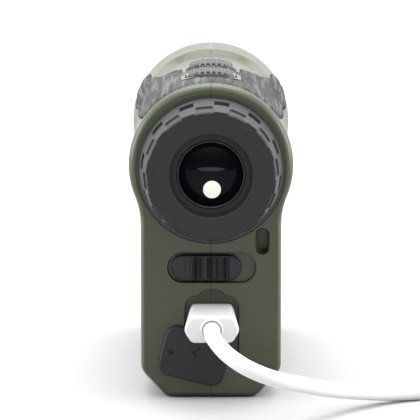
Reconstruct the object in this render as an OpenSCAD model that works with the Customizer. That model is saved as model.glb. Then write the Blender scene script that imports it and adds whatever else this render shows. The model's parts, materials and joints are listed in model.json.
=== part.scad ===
// Hand-held laser rangefinder with a charging lead plugged in.
// +Y is the aiming direction, +X is to the right of a user looking through
// the eyepiece, +Z is up. The flat base stands on z = 0.

/* [Housing] */
// Radius of the round upper part of the housing
head_r = 21; // [20.6:0.1:21.4]
// Height of the centre of the round upper part
head_z = 59; // [58.6:0.1:59.4]
// Width of the narrow lower part of the housing
low_w = 36; // [35.4:0.1:36.4]
// Wall thickness of the two housing shells
wall = 2; // [1.8:0.1:2.2]
// Radius of the hollow curve between the round part and the lower part
waist_r = 20; // [18:0.5:22]
// Width of the chamfer at the bottom corners
chamfer_w = 6.5; // [5.5:0.1:7]
// Height of the chamfer at the bottom corners
chamfer_h = 7; // [6:0.1:8]
// How much larger the front hood is than the body
hood_rise = 1.3; // [0.8:0.1:1.5]
// Extra height of the foot below the rest of the housing
foot = 0.9; // [0.5:0.1:1.2]

/* [Eyepiece] */
// Height of the optical axis above the base
axis_z = 58.3; // [58:0.1:58.6]
// Radius of the ring that the rubber eyecup sleeve sits on
ring_r = 15.8; // [15.4:0.1:16]
// Radius over the grip blocks of the eyecup sleeve
block_r = 18.2; // [17.9:0.1:18.4]
// Radius of the moving lens cell
cell_r = 9.95; // [9.92:0.01:9.97]
// Radial running clearance of the dioptre ring on the barrel
ring_gap = 0.05; // [0.03:0.01:0.08]

/* [Buttons] */
// Width of the two top buttons
button_w = 13; // [12.4:0.1:13.2]
// Length of the two top buttons
button_l = 17; // [16:0.1:17.2]
// Position of the rear (mode) button along the body
mode_y = -18; // [-18.5:0.5:-17.5]
// Position of the front (power) button along the body
power_y = 7; // [6.5:0.5:8]
// Travel of a button
button_travel = 0.8; // [0.5:0.1:0.8]

/* [Rear controls] */
// Height of the slide switch
slide_z = 32.9; // [32.6:0.1:33.2]
// Height of the charging port
port_z = 20.4; // [20.2:0.1:20.6]
// Depth of the pocket round the charging port
port_depth = 2.2; // [2:0.1:2.4]
// Tilt of the port cover where it hangs open
cover_tilt = 13.9; // [13.5:0.1:15]

/* [Lead] */
// Diameter of the charging cable
cable_d = 4; // [3.9:0.05:4.1]
// Radius of the coil at the middle of its turns
coil_r = 22; // [21:0.5:23]

/* [Hidden] */
$fn = 64;
e = 0.01;
lw = low_w/2;
rear_y = -45;
front_y = 60;
port_x = 0.2;

// Charging cable, from the plug to the coil
route = [[0.2,-66.5,21.3],[0.2,-68,21.3],[0.5,-71.6,20.9],[1.7,-75.4,19.7],[4.2,-79,17.7],[8.2,-81.2,15.3],
         [13.2,-81.2,13],[18.4,-78.6,11],[23.4,-74,9.2],[28.2,-68.4,7.2],[33.2,-62.4,5.4],
         [38.8,-56.6,3.8],[45,-51.6,2.6],[52,-48,2],[60,-45.8,2],[68,-45,2.3],[77,-45,2.7]];
// Charging cable, from the coil to the far plug
tail = [[116,-9,6.2],[116,-5,5.4],[116,0,4.4],[116,3.5,4],[116,6,4]];
coil_x = 90;
coil_y = -19;

// Each housing section: y, radius, centre height, lower half width, inset
SEC = [[-45,head_r,head_z,lw,2.4],[-44.6,head_r,head_z,lw,1.3],[-43.8,head_r,head_z,lw,0.5],
       [-42.4,head_r,head_z,lw,0],[-20,head_r-0.1,head_z,lw,0],[20,head_r-0.1,head_z,lw,0],
       [37,head_r,head_z,lw+0.1,0],[40,head_r+hood_rise*0.55,head_z+0.5,lw+0.2,0],
       [43,head_r+hood_rise,head_z+0.9,lw+0.3,0],[57,head_r+hood_rise,head_z+0.9,lw+0.3,0],
       [59,head_r+hood_rise,head_z+0.9,lw+0.3,0.6],[60,head_r+hood_rise,head_z+0.9,lw+0.3,1.7]];
INN = [[-43,head_r,head_z,lw,wall+0.9],[-41.6,head_r,head_z,lw,wall],[-20,head_r-0.1,head_z,lw,wall],
       [20,head_r-0.1,head_z,lw,wall],[37,head_r,head_z,lw+0.1,wall],
       [43,head_r+hood_rise,head_z+0.9,lw+0.3,wall],[61,head_r+hood_rise,head_z+0.9,lw+0.3,wall]];
SCREWS = [[-30,8],[14,6],[-25,41],[48,77]];

olive = [0.30,0.33,0.26];
black = [0.13,0.13,0.14];
rubber = [0.19,0.19,0.21];

// ---------- helpers ----------
function arcp(cx,cz,r,a0,a1,n,s=0) = [for(k=[s:n]) let(a=a0+(a1-a0)*k/n) [cx+r*cos(a),cz+r*sin(a)]];

// Right half of the keyhole outline, from the base up to the top
function half(R,zc,w,i) =
  let(al=-acos((w+waist_r)/(R+waist_r)), zf=zc+(R+waist_r)*sin(al),
      L=sqrt(chamfer_w*chamfer_w+chamfer_h*chamfer_h), d=chamfer_h*(w-chamfer_w)/L,
      z1=(chamfer_h*(w-i)-L*(d-i))/chamfer_w, x1=(L*(d-i)+chamfer_w*i)/chamfer_h)
  concat([[x1,i-foot],[w-i,z1-foot]], arcp(w+waist_r,zf,waist_r+i,180,180+al,4), arcp(0,zc,R-i,al,90,14,1));

function outline(R,zc,w,i) = let(h=half(R,zc,w,i),n=len(h))
  concat(h,[for(k=[n-2:-1:0]) [-h[k][0],h[k][1]]]);

// Closed skin through a row of housing sections; di moves every section inward
module loft(S,di=0) {
  rings = [for(s=S) outline(s[1],s[2],s[3],s[4]+di)];
  N = len(rings[0]); M = len(S); T = (N-1)/2;
  pts = [for(s=[0:M-1]) for(p=rings[s]) [p[0],S[s][0],p[1]]];
  side = [for(s=[0:M-2]) for(k=[0:N-1]) let(a=s*N+k,b=s*N+(k+1)%N)
          for(f=[[a,b,b+N],[a,b+N,a+N]]) f];
  rear = concat([for(k=[0:T-2]) [k,N-1-k,N-2-k,k+1]],[[T-1,T+1,T]]);
  q = (M-1)*N;
  front = concat([for(k=[0:T-2]) [q+k,q+k+1,q+N-2-k,q+N-1-k]],[[q+T-1,q+T,q+T+1]]);
  polyhedron(points=pts,faces=concat(side,rear,front),convexity=8);
}

module ycyl(x,z,y0,y1,r) translate([x,y0,z]) rotate([-90,0,0]) cylinder(h=y1-y0,r=r);
module xcyl(x0,x1,y,z,r) translate([x0,y,z]) rotate([0,90,0]) cylinder(h=x1-x0,r=r);
module zcyl(x,y,z0,z1,r) translate([x,y,z0]) cylinder(h=z1-z0,r=r);
module box(x0,x1,y0,y1,z0,z1) translate([x0,y0,z0]) cube([x1-x0,y1-y0,z1-z0]);
// A flat shape in X-Z, thickened from y0 to y1
module slab(y0,y1) translate([0,y1,0]) rotate([90,0,0]) linear_extrude(y1-y0) children();
// A shape turned about a line along Y at height z; the flat shape is [radius, y]
module turned(z=axis_z) translate([0,0,z]) rotate([-90,0,0]) rotate_extrude() children();
module rrect(w,h,r) { square([w-2*r,h],center=true); square([w,h-2*r],center=true);
  for(a=[-1,1],b=[-1,1]) translate([a*(w/2-r),b*(h/2-r)]) circle(r,$fn=32); }
module tube_r(r0,r1,y0,y1,z=axis_z) turned(z) translate([r0,y0]) square([r1-r0,y1-y0]);
// Lens outline: centre thickness y0 to y3, edge y1 to y2
function bulge(r,y0,y1,n=8) = [for(k=[0:n]) let(t=k/n) [r*t, y0+(y1-y0)*t*t]];
module lens(r,y0,y1,y2,y3,z=axis_z) turned(z)
  polygon(concat(bulge(r,y0,y1),[for(k=[8:-1:0]) bulge(r,y3,y2)[k]]));

function unit(v) = v/norm(v);
// A round cable along a row of points
module cable(P,r,n=10) {
  M = len(P);
  pts = [for(i=[0:M-1]) let(t=unit(P[min(i+1,M-1)]-P[max(i-1,0)]),
         s=unit(cross(t,[0,0,1])),u=cross(s,t))
         for(k=[0:n-1]) let(a=360*k/n) P[i]+r*(s*cos(a)+u*sin(a))];
  faces = concat([for(i=[0:M-2]) for(k=[0:n-1]) let(a=i*n+k,b=i*n+(k+1)%n)
          for(f=[[a,a+n,b+n],[a,b+n,b]]) f],
          [[for(k=[0:n-1]) k]],[[for(k=[n-1:-1:0]) (M-1)*n+k]]);
  polyhedron(points=pts,faces=faces,convexity=8);
}

// Raises everything in the housing by the foot, so that the base is at z = 0
module lift() translate([0,0,foot]) children();

// ---------- housing ----------
module button_hole(y,g) translate([0,y,70]) linear_extrude(20) rrect(button_w+2*g,button_l+2*g,5+g);
module collar() intersection() {
  ycyl(0,head_z,mode_y-12,mode_y+12,head_r+0.5);
  translate([0,mode_y,68]) linear_extrude(20) rrect(button_w+2.8,button_l+2.8,6.4); }
// The space on the top and sides that the rubber saddle fills
module saddle_space() difference() {
  translate([-30,0,0]) rotate([90,0,90]) linear_extrude(60)
    polygon([[-42,90],[-6,90],[-6,79.6],[10,78.9],[19,77.4],[30,75.2],[40,73.6],[46,74.2],[54,74],
             [55,69.5],[54,65.2],[40,65.2],[20,66],[0,67],[-20,68.5],[-42,70.9]]);
  loft(SEC,0.7);
  translate([0,0,-e]) collar();
  button_hole(power_y,1.2); }

// What is left solid inside the shells: pads and screw bosses
module inner_solids() {
  box(-12.6,12.6,-43.5,-41.4,28.3,38);
  box(-9.2,9.2,-43.5,-41.2,5,27.6);
  box(9.6,20,-44,-36.6,34.6,45.2);
  for(s=SCREWS) xcyl(-30,30,s[0],s[1],3.2);
}
module slide_cut() {
  translate([0.2,0,slide_z]) slab(-50,-43.4) rrect(22.4,7.7,3.8);
  box(-2.7,3.6,-44,-41,slide_z-1.4,slide_z+1.4); }
module port_cut() {
  translate([0.2,0,16.8]) slab(-50,rear_y+port_depth) rrect(13.6,17.4,3);
  translate([0.2,0,23.55]) slab(-50,rear_y+port_depth) rrect(7,7,2.4);
  translate([port_x,0,port_z]) slab(-44,-41) rrect(10.4,4.4,1.6);
  ycyl(2.05,11.4,-44,-40,1); }
module lanyard_cut() {
  translate([13.1,0,39.7]) slab(-50,-38) rrect(2.7,6.2,1.2);
  translate([13.1,0,39.7]) slab(-46,-44.4) rrect(3.9,6.9,1.8);
  box(11.75,25,-40.6,-38,36.9,42.5); }
module screw_cuts() for(s=SCREWS) {
  xcyl(-8,30,s[0],s[1],1.02);
  xcyl(0,30,s[0],s[1],1.25);
  xcyl(8.5,30,s[0],s[1],2.2); }

module shells() difference() {
  union() { loft(SEC); collar(); }
  difference() { loft(INN); inner_solids(); }
  saddle_space();
  box(-40,40,-80,80,-8,-foot);
  ycyl(0,axis_z,-50,-40,12.6);
  slide_cut(); port_cut(); lanyard_cut(); screw_cuts();
  button_hole(mode_y,0.3); button_hole(power_y,0.3); }

module left_shell() color(olive) lift() intersection() { shells(); box(-40,0,-80,80,-3,100); }
module right_shell() color(olive) lift() intersection() { shells(); box(0,40,-80,80,-3,100); }
module rubber_grip() color(rubber) lift() intersection() { saddle_space(); loft(SEC,-0.3); }
module front_plate() color(black) lift() difference() {
  slab(56.8,59.4) polygon(outline(head_r+hood_rise,head_z+0.9,lw+0.3,wall+0.05));
  ycyl(0,axis_z,50,62,13); ycyl(0,35.5,50,62,6.4); ycyl(0,15,50,62,11.4); }
module shell_screws() color([0.2,0.2,0.2]) lift() for(s=SCREWS) difference() {
  union() { xcyl(-7.5,9,s[0],s[1],1); xcyl(8.5,10.7,s[0],s[1],2); }
  translate([10,s[0],s[1]]) rotate([0,90,0]) cylinder(h=2,r=0.9,$fn=6); }

// ---------- optics ----------
module objective_lens() color([0.5,0.6,0.75]) lift() lens(12.65,48.6,50.2,53,56.4);
module objective_retainer() color(black) lift() tube_r(11.6,12.68,53.75,56.7);
module optics_chassis() color([0.25,0.25,0.27]) lift() difference() {
  union() { ycyl(0,axis_z,12,56.75,14.4); box(-18,18,28,34,56.3,60.3); }
  ycyl(0,axis_z,16,60,12.7); ycyl(0,axis_z,10,20,9); tube_r(11.2,15,11,13.6); }
module prism_cage() color([0.3,0.3,0.32]) lift() difference() {
  box(-12,12,-14,11.95,axis_z-12,axis_z+12);
  box(-10.4,10.4,-13,11,axis_z-10.4,axis_z+10.4);
  ycyl(0,axis_z,-20,20,9);
  box(-20,20,-9,7,axis_z-7.5,axis_z+7.5); }
module roof_prism() color([0.7,0.8,0.85]) lift() translate([-8,0,axis_z]) rotate([90,0,90]) linear_extrude(16) {
  polygon([[10.9,10.3],[10.9,-10.3],[4.5,-10.3],[-5.5,10.3]]);
  polygon([[-6.2,10.3],[3.8,-10.3],[-8,-10.3],[-12.9,-4],[-12.9,10.3]]); }
module lcd_reticle() color([0.6,0.7,0.6]) lift() {
  box(-10,10,-15.5,-14.05,axis_z-9,axis_z+9);
  box(-3,3,-15.5,-14.4,axis_z-12,axis_z-9); }
module receiver_lens() color([0.5,0.6,0.75]) lift() lens(11.15,53.6,54.8,56.2,58.8,15);
module receiver_tube() color(black) lift() difference() { ycyl(0,15,25,56.75,12);
  ycyl(0,15,52,60,11.2); ycyl(0,15,26.5,54.2,10); ycyl(0,15,20,30,2.75); }
module emitter_lens() color([0.5,0.6,0.75]) lift() lens(6.15,53.8,54.6,56,58,35.5);
module emitter_tube() color(black) lift() difference() { ycyl(0,35.5,25,56.75,6.9);
  ycyl(0,35.5,52,60,6.2); ycyl(0,35.5,26.5,54.2,5.2); ycyl(0,35.5,20,30,2.85); }
module laser_diode() color([0.75,0.65,0.35]) lift() { ycyl(0,35.5,22,26.4,2.8); ycyl(0,35.5,21,22.2,4.4);
  for(x=[-1.3,0,1.3]) ycyl(x,35.5,18.5,21.2,0.25); }
module photodiode() color([0.75,0.65,0.35]) lift() { ycyl(0,15,22,26.4,2.7); ycyl(0,15,21,22.2,4.4);
  for(x=[-1.3,0,1.3]) ycyl(x,15,18.5,21.2,0.25); }

// ---------- electronics ----------
module main_board() color([0.1,0.35,0.2]) lift() { box(7,8,-20,18,10,42);
  color(black) { box(8,9.2,-12,-2,22,32); box(8,9,2,10,14,20); box(8,9,4,12,28,36); } }
module key_board() color([0.1,0.35,0.2]) lift() box(-8,8,-30,13.2,72,72.8);
module key_switches() color([0.7,0.7,0.7]) lift() for(y=[mode_y,power_y]) {
  box(-3,3,y-3,y+3,72.8,74.4); zcyl(0,y,74.4,74.8,1.7); }
module slide_switch() color([0.2,0.2,0.22]) lift() difference() {
  box(-8,8,-41.3,-36,30,36.2); box(-2.7,3.6,-42,-37.8,slide_z-1.4,slide_z+1.4); }
module usb_socket() color([0.75,0.75,0.77]) lift() {
  difference() { translate([port_x,0,port_z]) slab(-41.1,-34) rrect(9.8,3.8,1.5);
    translate([port_x,0,port_z]) slab(-42,-34.6) rrect(9,3.2,1.3); }
  box(-3,3.4,-39.8,-34.5,port_z-0.35,port_z+0.35); }
module usb_board() color([0.1,0.35,0.2]) lift() box(-8.5,8.5,-41,-27,port_z-2.9,port_z-1.92);
module battery_cell() color([0.25,0.35,0.55]) lift() { zcyl(-6,-5,6,38,8); zcyl(-6,-5,38,39,3); }
module battery_contacts() color([0.8,0.7,0.4]) lift() { box(-10,-2,-9,-1,39,39.4); box(-10,-2,-9,-1,5.4,6);
  box(-10,-2,-1,0.2,39.0,39.4); }

// ---------- eyepiece ----------
module eyepiece_barrel() color(black) lift() difference() {
  union() { ycyl(0,axis_z,-57.5,-20,12.5); ycyl(0,axis_z,-43,-41.4,15); }
  ycyl(0,axis_z,-60,-10,10);
  tube_r(11.4,14,-47.5,-46.3);
  box(-1.25,1.25,-52.25,-47.75,axis_z+5,axis_z+14); }
module eyepiece_oring() color([0.1,0.1,0.1]) lift() turned() translate([11.94,-46.9]) circle(0.5,$fn=24);
module diopter_ring() color(black) lift() turned() polygon([[12.5+ring_gap,-45.3],[ring_r,-45.3],[ring_r,-60],
  [11.2,-60],[10.4,-59],[10.4,-58],[12.5+ring_gap,-58],[12.5+ring_gap,-52.25],[14,-52.25],
  [14,-47.75],[12.5+ring_gap,-47.75]]);
module eyecup_sleeve() color(rubber) lift() difference() {
  turned() polygon([[ring_r,-45.6],[block_r,-45.6],[block_r,-46.3],[16.4,-59.6],[16.1,-60],[ring_r,-60]]);
  for(k=[0:11]) translate([0,0,axis_z]) {
    rotate([0,30*k+9,0]) box(16.3,22,-53.1,-49.2,-1.9,1.9);
    rotate([0,30*k-6,0]) box(16.05,22,-61,-54.6,-2.2,2.2); } }
module lens_cell() color([0.16,0.16,0.17]) lift() difference() {
  turned() polygon([[8.7,-56.5],[cell_r,-56.5],[cell_r,-30],[7.2,-30],[7.2,-35],[8.7,-35]]);
  zcyl(0,-50,axis_z+8,axis_z+12,0.92); }
module eye_lens() color([0.5,0.55,0.75]) lift() lens(8.65,-56.1,-54,-51.6,-49.2);
module eye_lens_retainer() color(black) lift() tube_r(8.1,8.66,-56.5,-54.6);
module lens_spacer() color(black) lift() tube_r(7.9,8.65,-51,-40.3);
module field_lens() color([0.5,0.55,0.75]) lift() lens(8.65,-41.2,-40,-36,-35.2);
module cam_pin() color([0.8,0.8,0.8]) lift() zcyl(0,-50,axis_z+8.8,axis_z+13.6,0.9);

// ---------- controls ----------
module key_cap(y) translate([0,y,0]) {
  intersection() { translate([0,0,76.2]) linear_extrude(10) rrect(button_w,button_l,5);
    ycyl(0,head_z,-10,10,head_r+1.1); xcyl(-8,8,0,82.15-70,70); }
  box(-4,4,-button_l/2-1.2,button_l/2+1.2,75.8,76.5);
  zcyl(0,0,75.65,76.3,1.5); }
module power_button() color(black) lift() key_cap(power_y);
module mode_button() color(black) lift() key_cap(mode_y);
module slope_knob() color(black) lift() translate([-1.25,0,slide_z]) difference() {
  slab(-45.7,-43.75) rrect(17.8,6.8,3.35);
  for(k=[-2:2]) box(k*1.9+0.9,k*1.9+1.6,-46.5,-45.4,-4,4);
  slab(-44.75,-43) square([3,2.4],center=true); }
module slider_carrier() color([0.8,0.8,0.8]) lift() { box(-2.3,-0.3,-43.8,-38.4,slide_z-1,slide_z+1);
  box(-2.7,0.1,-44.72,-43.75,slide_z-1.15,slide_z+1.15); }
module usb_cover() color(rubber) lift() {
  translate([-4.2,0,10.3]) rotate([0,cover_tilt,0]) difference() {
    slab(-47.2,-45.3) rrect(16.9,13.1,3);
    ycyl(-6,-0.3,-48,-46.9,0.9); }
  ycyl(2.05,11.4,-45.4,-40.5,0.95);
  ycyl(2.05,11.4,-40.9,-40.1,1.7); }

// ---------- charging lead ----------
module lead_plug_body() color([0.93,0.93,0.92]) lift() hull() {
  translate([port_x,0,port_z]) slab(-46,-43.1) rrect(12.5,6,2.9);
  translate([port_x,0,port_z]) slab(-63.6,-58) rrect(14.4,6.6,3.2);
  translate([port_x,0,port_z]) slab(-65,-64) rrect(12.8,5.4,2.6); }
module lead_plug_tip() color([0.75,0.75,0.77]) lift() translate([port_x,0,port_z]) difference() {
  slab(-43.1,-36.5) rrect(8.3,2.5,1.1); slab(-41,-36) rrect(7.4,1.7,0.8); }
module lead_strain_relief() color([0.93,0.93,0.92]) lift() ycyl(port_x,port_z,-66.5,-65,2.5);
module lead_cable() color([0.93,0.93,0.92]) cable(route,cable_d/2);
module lead_coil() color([0.93,0.93,0.92]) translate([coil_x,coil_y,0]) rotate_extrude()
  translate([coil_r-1.5*cable_d,0.7]) square([3*cable_d,2*cable_d]);
module lead_tie() color(black) for(a=[0,180]) translate([coil_x,coil_y,0]) rotate([0,0,a+90]) difference() {
  box(coil_r-1.5*cable_d-1.1,coil_r+1.5*cable_d+0.8,-2.5,2.5,0,2*cable_d+1.4);
  box(coil_r-1.5*cable_d-0.4,coil_r+1.5*cable_d+0.05,-3,3,0.68,2*cable_d+0.72); }
module lead_tail() color([0.93,0.93,0.92]) cable(tail,cable_d/2);
module usb_a_body() color([0.93,0.93,0.92]) translate([116,0,4]) slab(6,28) rrect(15.8,8,2.5);
module usb_a_shell() color([0.78,0.78,0.8]) translate([116,0,4]) difference() {
  slab(28,40) square([12,4.5],center=true); slab(29,41) square([11.3,3.9],center=true);
  }

left_shell();
right_shell();
front_plate();
rubber_grip();
shell_screws();
objective_lens();
objective_retainer();
receiver_lens();
receiver_tube();
emitter_lens();
emitter_tube();
optics_chassis();
roof_prism();
prism_cage();
lcd_reticle();
laser_diode();
photodiode();
main_board();
key_board();
key_switches();
slide_switch();
usb_socket();
usb_board();
battery_cell();
battery_contacts();
eyepiece_barrel();
eyepiece_oring();
diopter_ring();
eyecup_sleeve();
lens_cell();
eye_lens();
field_lens();
lens_spacer();
eye_lens_retainer();
cam_pin();
power_button();
mode_button();
slope_knob();
slider_carrier();
usb_cover();
lead_plug_body();
lead_plug_tip();
lead_strain_relief();
lead_cable();
lead_coil();
lead_tie();
lead_tail();
usb_a_body();
usb_a_shell();
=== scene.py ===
import json
import math
import random

import bpy
import bmesh
import numpy as np
from mathutils import Matrix, Vector, noise


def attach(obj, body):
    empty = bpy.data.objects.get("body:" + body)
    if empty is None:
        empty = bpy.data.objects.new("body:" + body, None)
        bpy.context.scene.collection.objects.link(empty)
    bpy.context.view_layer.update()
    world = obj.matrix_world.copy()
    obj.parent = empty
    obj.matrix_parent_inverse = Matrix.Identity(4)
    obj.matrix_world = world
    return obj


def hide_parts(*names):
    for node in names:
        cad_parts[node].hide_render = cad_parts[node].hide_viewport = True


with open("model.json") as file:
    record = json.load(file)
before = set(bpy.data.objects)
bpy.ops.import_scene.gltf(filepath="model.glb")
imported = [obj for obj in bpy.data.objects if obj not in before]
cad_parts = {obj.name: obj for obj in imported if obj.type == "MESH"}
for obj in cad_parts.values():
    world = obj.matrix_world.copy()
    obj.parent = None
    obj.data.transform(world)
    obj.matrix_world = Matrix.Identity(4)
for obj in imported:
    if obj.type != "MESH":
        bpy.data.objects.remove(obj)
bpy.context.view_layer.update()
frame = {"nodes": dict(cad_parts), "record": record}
MM = 0.001
random.seed(7)
scene = bpy.context.scene

# Housing shape, in millimetres, as the CAD states it
HEAD_R, HEAD_Z, LW, WAIST = 21.0, 59.0, 18.0, 20.0
CHX, CHZ, HOOD = 6.5, 7.0, 1.3
AXIS_Z, FOOT = 58.3, 0.9
MODE_Y, POWER_Y = -18.0, 7.0
BTN_W, BTN_L, BTN_R = 13.0, 17.0, 5.0
SLIDE_Z, PORT_X, PORT_Z = 32.9, 0.2, 20.4


# ------------------------------------------------------------------ camera
def make_camera():
    cam = bpy.data.objects.new("camera", bpy.data.cameras.new("camera"))
    scene.collection.objects.link(cam)
    pitch = math.radians(8.0)
    target = Vector((-0.00025, -0.045, 0.0487))
    back = Vector((0, -math.cos(pitch), math.sin(pitch)))
    cam.location = target + back * 0.700
    cam.rotation_mode = "QUATERNION"
    cam.rotation_quaternion = (-back).to_track_quat("-Z", "Y")
    cam.data.sensor_width = 36.0
    cam.data.lens = 235.8
    cam.data.clip_start, cam.data.clip_end = 0.01, 20
    scene.camera = cam
    return cam


make_camera()
scene.view_settings.view_transform = "Standard"
scene.view_settings.look = "None"


# ------------------------------------------------------------------ node materials
class Nodes:
    """A small helper that builds one principled material."""

    def __init__(self, name, base, rough, **sockets):
        self.m = bpy.data.materials.new(name)
        self.m.use_nodes = True
        self.nt = self.m.node_tree
        self.bsdf = self.nt.nodes["Principled BSDF"]
        self.bsdf.inputs["Base Color"].default_value = (*base[:3], 1)
        self.bsdf.inputs["Roughness"].default_value = rough
        for k, v in sockets.items():
            self.bsdf.inputs[k.replace("_", " ")].default_value = v
        self.co = self.nt.nodes.new("ShaderNodeTexCoord").outputs["Object"]

    def new(self, kind, **props):
        n = self.nt.nodes.new(kind)
        for k, v in props.items():
            setattr(n, k, v)
        return n

    def link(self, a, b):
        self.nt.links.new(a, b)

    def mapped(self, scale):
        n = self.new("ShaderNodeMapping")
        n.inputs["Scale"].default_value = scale
        self.link(self.co, n.inputs["Vector"])
        return n.outputs["Vector"]

    def noise(self, scale, detail=3.0, rough=0.55, stretch=None, distort=0.0):
        n = self.new("ShaderNodeTexNoise")
        n.inputs["Scale"].default_value = scale
        n.inputs["Detail"].default_value = detail
        n.inputs["Roughness"].default_value = rough
        n.inputs["Distortion"].default_value = distort
        self.link(self.mapped(stretch) if stretch else self.co, n.inputs["Vector"])
        return n.outputs["Fac"]

    def voronoi(self, scale, stretch=None, feature="F1"):
        n = self.new("ShaderNodeTexVoronoi", feature=feature)
        n.inputs["Scale"].default_value = scale
        self.link(self.mapped(stretch) if stretch else self.co, n.inputs["Vector"])
        return n.outputs["Distance"]

    def ramp(self, fac, stops):
        n = self.new("ShaderNodeValToRGB")
        els = n.color_ramp.elements
        while len(els) < len(stops):
            els.new(0.5)
        for el, (p, c) in zip(els, stops):
            el.position = p
            el.color = (*c[:3], 1)
        self.link(fac, n.inputs["Fac"])
        return n.outputs["Color"]

    def math(self, op, a, b):
        n = self.new("ShaderNodeMath", operation=op)
        for i, v in enumerate((a, b)):
            if isinstance(v, (int, float)):
                n.inputs[i].default_value = v
            else:
                self.link(v, n.inputs[i])
        return n.outputs[0]

    def rng(self, fac, lo, hi):
        n = self.new("ShaderNodeMapRange")
        self.link(fac, n.inputs["Value"])
        n.inputs["To Min"].default_value = lo
        n.inputs["To Max"].default_value = hi
        return n.outputs["Result"]

    def bump(self, height, strength, dist):
        n = self.new("ShaderNodeBump")
        n.inputs["Strength"].default_value = strength
        n.inputs["Distance"].default_value = dist
        self.link(height, n.inputs["Height"])
        old = self.bsdf.inputs["Normal"].links
        if old:
            self.link(old[0].from_socket, n.inputs["Normal"])
        self.link(n.outputs["Normal"], self.bsdf.inputs["Normal"])

    def color(self, out):
        self.link(out, self.bsdf.inputs["Base Color"])

    def rough(self, out):
        self.link(out, self.bsdf.inputs["Roughness"])


def shade(c, k):
    return tuple(min(1, x * k) for x in c)


def moulded(name, base, rough, grain=2200, vary=0.12, bump=0.16, depth=0.00006, rvary=0.06, **s):
    """Moulded plastic: fine spark-eroded grain, slight colour and gloss variation."""
    n = Nodes(name, base, rough, **s)
    big = n.noise(45, 4)
    n.color(n.ramp(big, [(0.3, shade(base, 1 - vary)), (0.7, shade(base, 1 + vary))]))
    fine = n.noise(grain, 2, 0.6)
    n.rough(n.math("ADD", n.rng(big, rough - rvary, rough + rvary), n.rng(fine, -0.03, 0.03)))
    n.bump(fine, bump, depth)
    return n.m


def rubber_mat(name, base, rough=0.62, grain=1500, bump=0.35, depth=0.00012, stretch=None, **s):
    """Matte rubber with a pebbled grain, paler in colour where the grain is raised."""
    n = Nodes(name, base, rough, **s)
    cells = n.voronoi(grain, stretch)
    soft = n.noise(grain * 0.35, 4, 0.6, stretch)
    n.color(n.ramp(soft, [(0.3, shade(base, 0.8)), (0.75, shade(base, 1.28))]))
    n.rough(n.rng(soft, rough - 0.07, rough + 0.08))
    n.bump(n.math("ADD", cells, n.math("MULTIPLY", soft, 0.8)), bump, depth)
    return n.m


def metal(name, base, rough, stretch=(1, 1, 1), scale=900, **s):
    n = Nodes(name, base, rough, Metallic=1.0, **s)
    brushed = n.noise(scale, 3, 0.6, stretch)
    n.color(n.ramp(brushed, [(0.3, shade(base, 0.88)), (0.7, shade(base, 1.06))]))
    n.rough(n.rng(brushed, rough - 0.06, rough + 0.08))
    n.bump(brushed, 0.08, 0.00002)
    return n.m


OLIVE = (0.032, 0.041, 0.016)
M = {}
M["olive"] = moulded("olive_shell", OLIVE, 0.36, grain=2600, bump=0.20, depth=0.00005, IOR=1.45)
M["black"] = moulded("black_plastic", (0.006, 0.0055, 0.007), 0.34, grain=2400, IOR=1.42)
M["knob"] = moulded("knob_plastic", (0.006, 0.005, 0.008), 0.30, grain=2400, IOR=1.36)
M["button"] = moulded("button_rubber", (0.003, 0.003, 0.004), 0.24, grain=3000, bump=0.10, IOR=1.30)
M["sleeve"] = rubber_mat("eyecup_rubber", (0.011, 0.0105, 0.013), 0.50, grain=2600, bump=0.22, depth=0.00005, IOR=1.34)
M["cover"] = rubber_mat("cover_rubber", (0.011, 0.0105, 0.014), 0.46, grain=3200, bump=0.16, depth=0.00004, IOR=1.34)
def saddle_mat():
    """Rubber with a bark-like grain that runs along the body."""
    n = Nodes("saddle_rubber", (0.016, 0.016, 0.017), 0.55)
    streak = n.noise(620, 3, 0.6, (1.0, 0.045, 1.0))
    pits = n.voronoi(1500, (1.0, 0.25, 1.0))
    n.color(n.ramp(streak, [(0.38, (0.002, 0.002, 0.003)), (0.50, (0.012, 0.012, 0.013)), (0.62, (0.060, 0.060, 0.062))]))
    n.rough(n.rng(streak, 0.72, 0.50))
    n.bsdf.inputs["IOR"].default_value = 1.32
    n.bump(n.math("ADD", n.math("MULTIPLY", streak, 1.6), n.math("MULTIPLY", pits, 0.5)), 0.8, 0.0005)
    return n.m


M["saddle"] = saddle_mat()
M["white"] = moulded("white_plastic", (0.56, 0.56, 0.565), 0.36, grain=1800, vary=0.02, bump=0.05,
                     Subsurface_Weight=0.08)
M["white"].node_tree.nodes["Principled BSDF"].inputs["Subsurface Radius"].default_value = (0.002, 0.0018, 0.0015)
M["lead"] = moulded("lead_jacket", (0.62, 0.62, 0.625), 0.42, grain=1500, vary=0.02, bump=0.06)
M["inside"] = moulded("matt_black_lining", (0.006, 0.006, 0.007), 0.7, grain=1500)
M["alloy"] = metal("black_anodised_alloy", (0.05, 0.05, 0.055), 0.38, (1, 8, 1))
M["steel"] = metal("satin_steel", (0.56, 0.56, 0.57), 0.3, (6, 1, 1))
M["nickel"] = metal("nickel_plate", (0.70, 0.69, 0.67), 0.22, (1, 6, 1))
M["gilt"] = metal("gilt_brass", (0.80, 0.62, 0.30), 0.28)


def board_mat():
    n = Nodes("circuit_board", (0.012, 0.09, 0.035), 0.35)
    tracks = n.voronoi(900, (1, 1, 1), "DISTANCE_TO_EDGE")
    n.color(n.ramp(tracks, [(0.02, (0.03, 0.17, 0.07)), (0.10, (0.012, 0.08, 0.03))]))
    n.rough(n.rng(n.noise(600), 0.28, 0.42))
    n.bump(tracks, 0.15, 0.00004)
    return n.m


def battery_mat():
    n = Nodes("battery_sleeve", (0.05, 0.10, 0.26), 0.28)
    f = n.noise(160, 3, 0.5, (1, 1, 0.2))
    n.color(n.ramp(f, [(0.3, (0.04, 0.08, 0.22)), (0.7, (0.06, 0.12, 0.30))]))
    n.rough(n.rng(f, 0.22, 0.36))
    n.bump(f, 0.1, 0.00005)
    return n.m


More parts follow.
